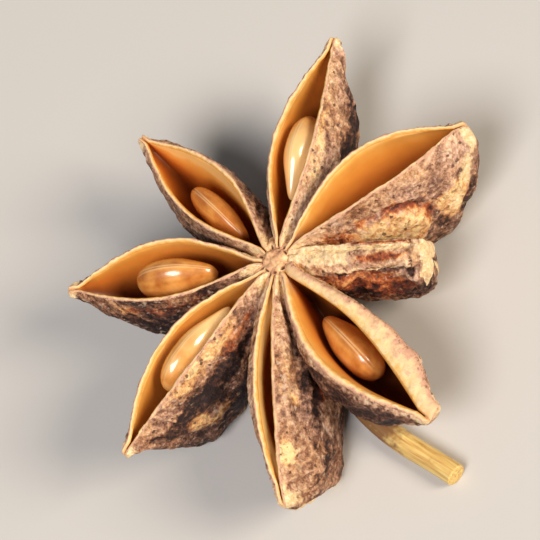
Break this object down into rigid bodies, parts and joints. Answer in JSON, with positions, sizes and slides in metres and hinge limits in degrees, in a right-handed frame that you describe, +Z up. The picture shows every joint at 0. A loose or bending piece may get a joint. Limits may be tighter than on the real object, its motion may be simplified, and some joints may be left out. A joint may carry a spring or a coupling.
{
  "type": "star anise pod",
  "caption": "Dried star-shaped spice pod with boat-shaped carpels split open on a short column, glossy seeds and a bent stalk.",
  "frame": {"origin": "middle of the pod's box, on the ground that it lies on", "axes": "+Z up out of the open boats, +X towards the broad empty boat, -Y towards the broad-rimmed boat and the stalk's cut end"},
  "size_m": [0.0326, 0.0332, 0.0094],
  "materials": {
    "husk": "dry wrinkled rind, mauve-brown with tan and charred blotches, pale broken rims, satin golden-orange lining",
    "seed": "hard glossy seed coat, amber caramel"
  },
  "bodies": {
    "root": {"husk": "husk", "seed_north_east": "seed", "seed_north": "seed", "seed_north_west": "seed", "seed_west": "seed", "seed_south": "seed"}
  },
  "joints": []
}
